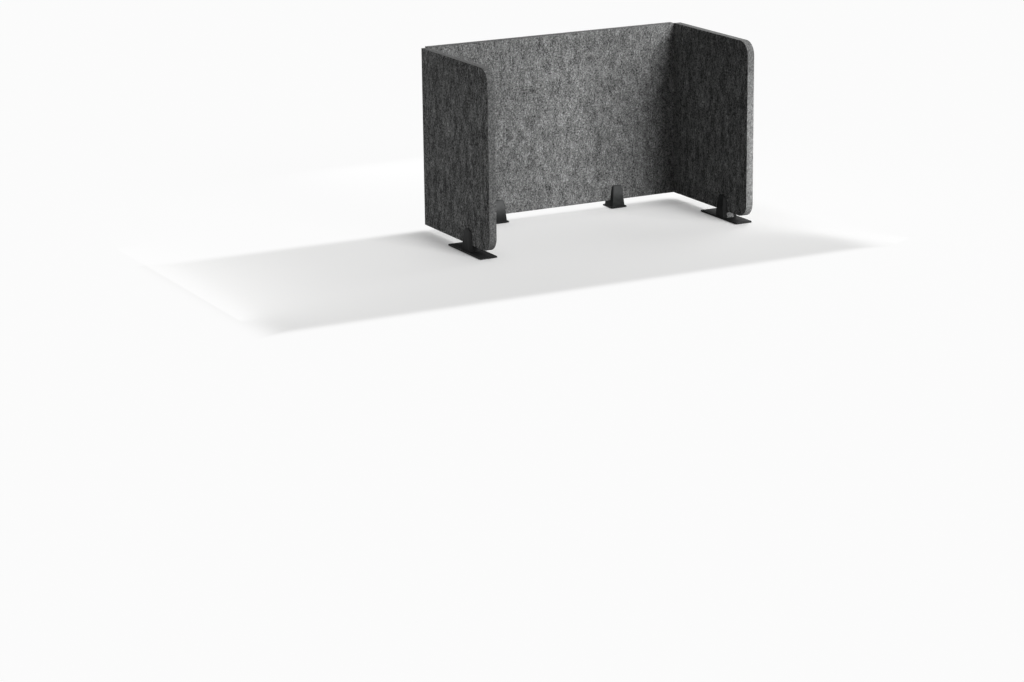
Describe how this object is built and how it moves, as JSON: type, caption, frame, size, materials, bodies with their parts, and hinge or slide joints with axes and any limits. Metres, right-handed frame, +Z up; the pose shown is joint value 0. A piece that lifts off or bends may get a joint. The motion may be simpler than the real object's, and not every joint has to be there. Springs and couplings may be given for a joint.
{
  "type": "acoustic divider screen",
  "caption": "Free-standing felt screen: a back panel with side wings that fold on felt hinges, held upright by clip-on feet along its lower edge.",
  "frame": {"origin": "on the surface it stands on, under the middle of the screen's footprint", "axes": "+Z up, +Y to the back panel, -Y to the user, +X to the user's right"},
  "size_m": [0.875, 0.4376, 0.528],
  "materials": {
    "felt": "mottled dark grey pressed polyester felt, matte",
    "hinge_felt": "thin felt skin in the panels' colour",
    "black_plastic": "satin black moulded plastic",
    "black_steel": "satin black powder coat",
    "zinc_steel": "bright zinc plate",
    "rubber": "matte black"
  },
  "bodies": {
    "back": {"back_panel": "felt", "left_hinge_strip": "hinge_felt", "right_hinge_strip": "hinge_felt"},
    "left_wing": {"left_panel": "felt"},
    "right_wing": {"right_panel": "felt"},
    "left_foot": {"left_foot_clip": "black_plastic", "left_foot_plate": "black_steel", "left_foot_screws": "zinc_steel", "left_foot_pads": "rubber"},
    "right_foot": {"right_foot_clip": "black_plastic", "right_foot_plate": "black_steel", "right_foot_screws": "zinc_steel", "right_foot_pads": "rubber"},
    "back_left_foot": {"back_left_foot_clip": "black_plastic", "back_left_foot_plate": "black_steel", "back_left_foot_screws": "zinc_steel", "back_left_foot_pads": "rubber"},
    "back_right_foot": {"back_right_foot_clip": "black_plastic", "back_right_foot_plate": "black_steel", "back_right_foot_screws": "zinc_steel", "back_right_foot_pads": "rubber"}
  },
  "joints": [
    {"name": "left_wing_fold", "type": "hinge", "parent": "back", "child": "left_wing", "pos_m": [-0.4, 0.18125, 0.023], "axis": [0, 0, 1], "range_deg": [-90, 72], "deforming": ["left_hinge_strip"]},
    {"name": "right_wing_fold", "type": "hinge", "parent": "back", "child": "right_wing", "pos_m": [0.4, 0.18125, 0.023], "axis": [0, 0, -1], "range_deg": [-90, 72], "deforming": ["right_hinge_strip"]},
    {"name": "left_foot_slide", "type": "slide", "parent": "left_wing", "child": "left_foot", "axis": [0, 1, 0], "range_m": [-0.027, 0.06]},
    {"name": "right_foot_slide", "type": "slide", "parent": "right_wing", "child": "right_foot", "axis": [0, 1, 0], "range_m": [-0.027, 0.06]},
    {"name": "back_left_foot_slide", "type": "slide", "parent": "back", "child": "back_left_foot", "axis": [1, 0, 0], "range_m": [-0.08, 0.15]},
    {"name": "back_right_foot_slide", "type": "slide", "parent": "back", "child": "back_right_foot", "axis": [-1, 0, 0], "range_m": [-0.06, 0.17]}
  ]
}
